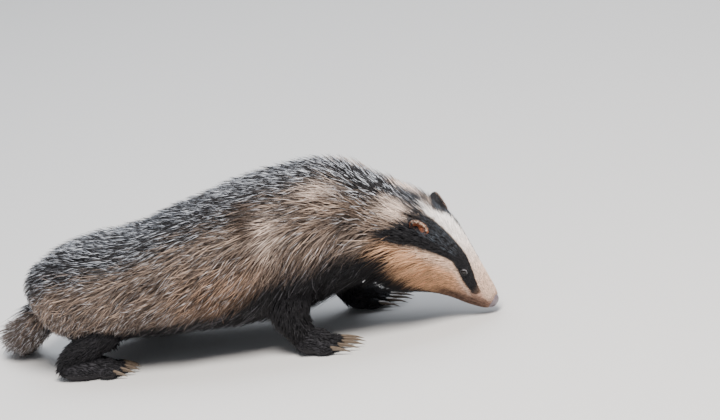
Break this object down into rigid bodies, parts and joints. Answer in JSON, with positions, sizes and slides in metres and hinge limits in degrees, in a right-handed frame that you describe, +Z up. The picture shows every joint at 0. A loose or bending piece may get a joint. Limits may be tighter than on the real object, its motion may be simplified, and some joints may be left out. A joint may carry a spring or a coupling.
{
  "type": "european badger model",
  "caption": "Life-size still model of a badger standing low on bent legs with its head down to the ground and a long shaggy coat.",
  "frame": {"origin": "under the middle of the whole animal's box, on the floor that its paws stand on", "axes": "+X towards the head, +Y to the animal's left, +Z up"},
  "size_m": [0.6492, 0.2404, 0.2088],
  "materials": {
    "coat": "long coarse hair, dark with pale tips",
    "dark_coat": "short black hair",
    "face": "short pale hair with a dark band through each eye",
    "ear": "thin short hair with a pale rim",
    "nose": "moist bare skin",
    "eye": "dark and wet",
    "claw": "worn horn"
  },
  "bodies": {
    "root": {"foreleg_right": "dark_coat", "forepaw_right": "dark_coat", "foreclaw_right_1": "claw", "foreclaw_right_2": "claw", "foreclaw_right_3": "claw", "foreclaw_right_4": "claw", "foreclaw_right_5": "claw", "foreleg_left": "dark_coat", "forepaw_left": "dark_coat", "foreclaw_left_1": "claw", "foreclaw_left_2": "claw", "foreclaw_left_3": "claw", "foreclaw_left_4": "claw", "foreclaw_left_5": "claw", "hindleg_right": "dark_coat", "hindpaw_right": "dark_coat", "hindclaw_right_1": "claw", "hindclaw_right_2": "claw", "hindclaw_right_3": "claw", "hindclaw_right_4": "claw", "hindclaw_right_5": "claw", "hindleg_left": "dark_coat", "hindpaw_left": "dark_coat", "hindclaw_left_1": "claw", "hindclaw_left_2": "claw", "hindclaw_left_3": "claw", "hindclaw_left_4": "claw", "hindclaw_left_5": "claw", "ear_right": "ear", "ear_left": "ear", "tail": "coat", "rump": "coat", "torso": "coat", "neck": "coat", "head": "face", "eye_right": "eye", "eye_left": "eye", "nose": "nose"}
  },
  "joints": []
}
